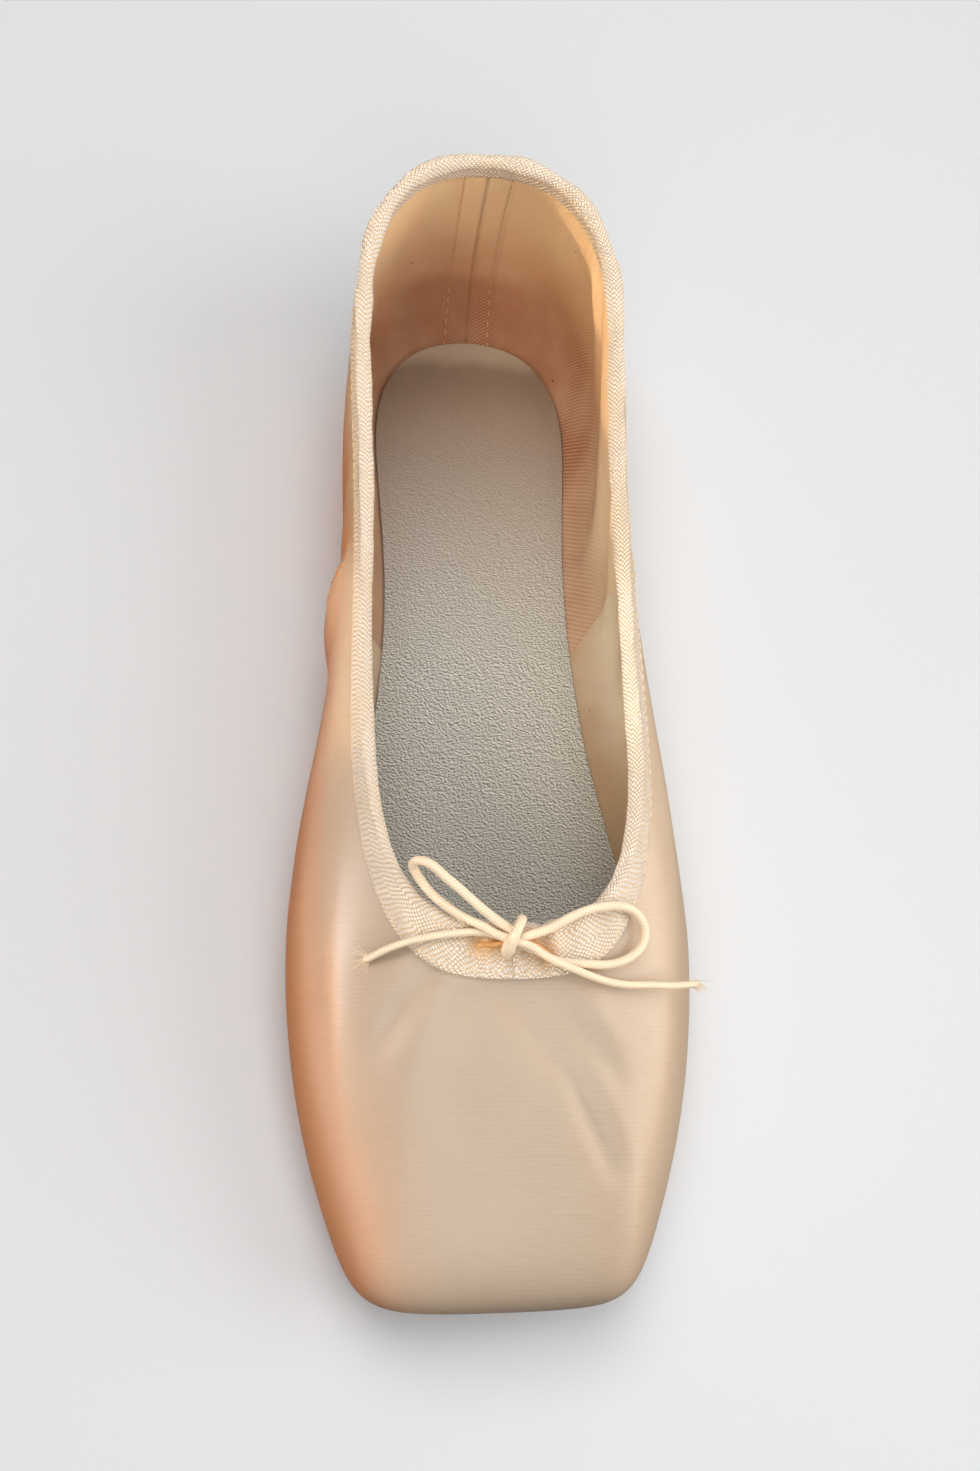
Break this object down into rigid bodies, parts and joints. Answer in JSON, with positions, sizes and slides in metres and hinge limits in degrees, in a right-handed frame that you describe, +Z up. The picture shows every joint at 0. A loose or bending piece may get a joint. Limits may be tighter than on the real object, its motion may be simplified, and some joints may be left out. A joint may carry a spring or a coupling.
{
  "type": "pointe shoe",
  "caption": "Ballet pointe shoe on a straight last: hollow satin upper with a stiff square toe box, leather outsole, insole, taped edge and tied drawstring.",
  "frame": {"origin": "on the floor, under the middle of the shoe's length and width", "axes": "+Z up, +Y from toe to heel along the length, +X to the side; the shoe is symmetric about X = 0 apart from its bow"},
  "size_m": [0.0826, 0.238, 0.0559],
  "materials": {
    "satin": "peach satin weave, soft sheen",
    "outsole_leather": "matt split leather",
    "insole_suede": "grey roughed insole board, matt",
    "binding_tape": "cream herringbone cotton tape, matt",
    "drawstring": "cream waxed cotton cord"
  },
  "bodies": {
    "root": {"upper": "satin", "outsole": "outsole_leather", "insole": "insole_suede", "binding": "binding_tape", "bow_knot": "drawstring", "loop_left": "drawstring", "loop_right": "drawstring", "tail_left": "drawstring", "tail_right": "drawstring"}
  },
  "joints": []
}
